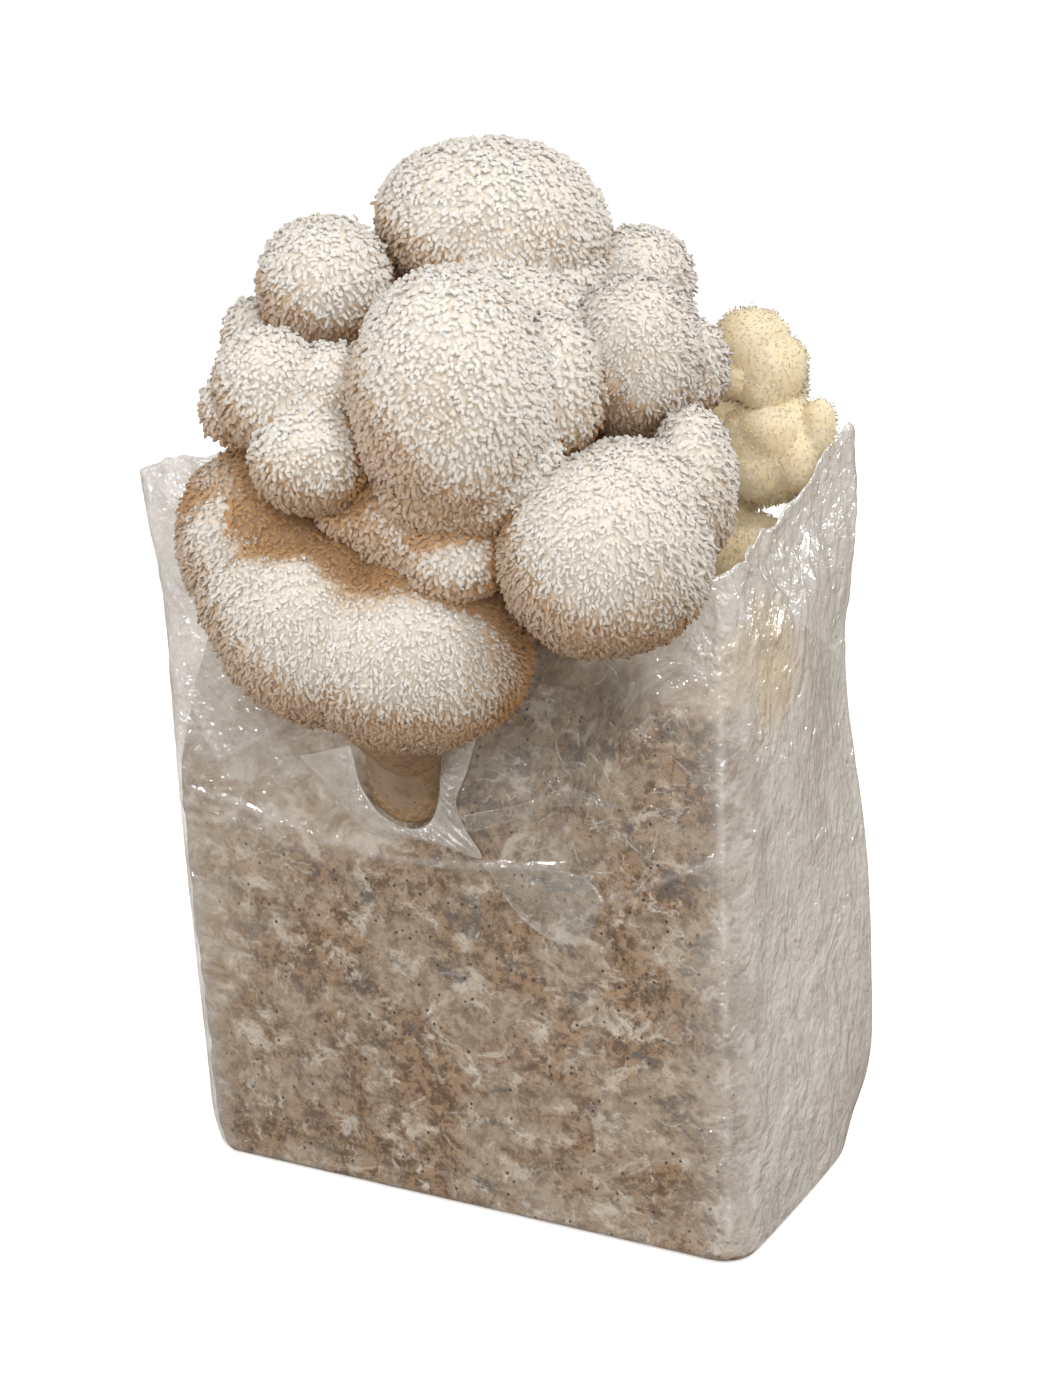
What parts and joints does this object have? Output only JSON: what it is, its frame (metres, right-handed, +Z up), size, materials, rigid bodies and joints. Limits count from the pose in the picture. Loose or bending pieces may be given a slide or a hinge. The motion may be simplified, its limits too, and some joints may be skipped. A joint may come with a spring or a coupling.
{
  "type": "lion's mane mushroom grow kit",
  "caption": "Colonised sawdust block in a clear open-topped film bag, with a large white spiny mushroom growing through a hole in the front and a smaller cream one in the mouth.",
  "frame": {"origin": "centre of the flat base of the bag", "axes": "+Z up, +X to the right along the front face, -Y to the front, towards the face with the hole"},
  "size_m": [0.2115, 0.1978, 0.3449],
  "materials": {
    "colonised_sawdust": "damp sawdust and grain bound by white mycelium, matt",
    "clear_film": "thin clear polypropylene film, glossy, milky where it stands off the block",
    "white_flesh": "matt white spines over cream flesh",
    "cream_flesh": "matt creamy yellow fuzz"
  },
  "bodies": {
    "root": {"substrate_block": "colonised_sawdust", "grow_bag": "clear_film", "main_cluster": "white_flesh", "second_cluster": "cream_flesh"}
  },
  "joints": []
}
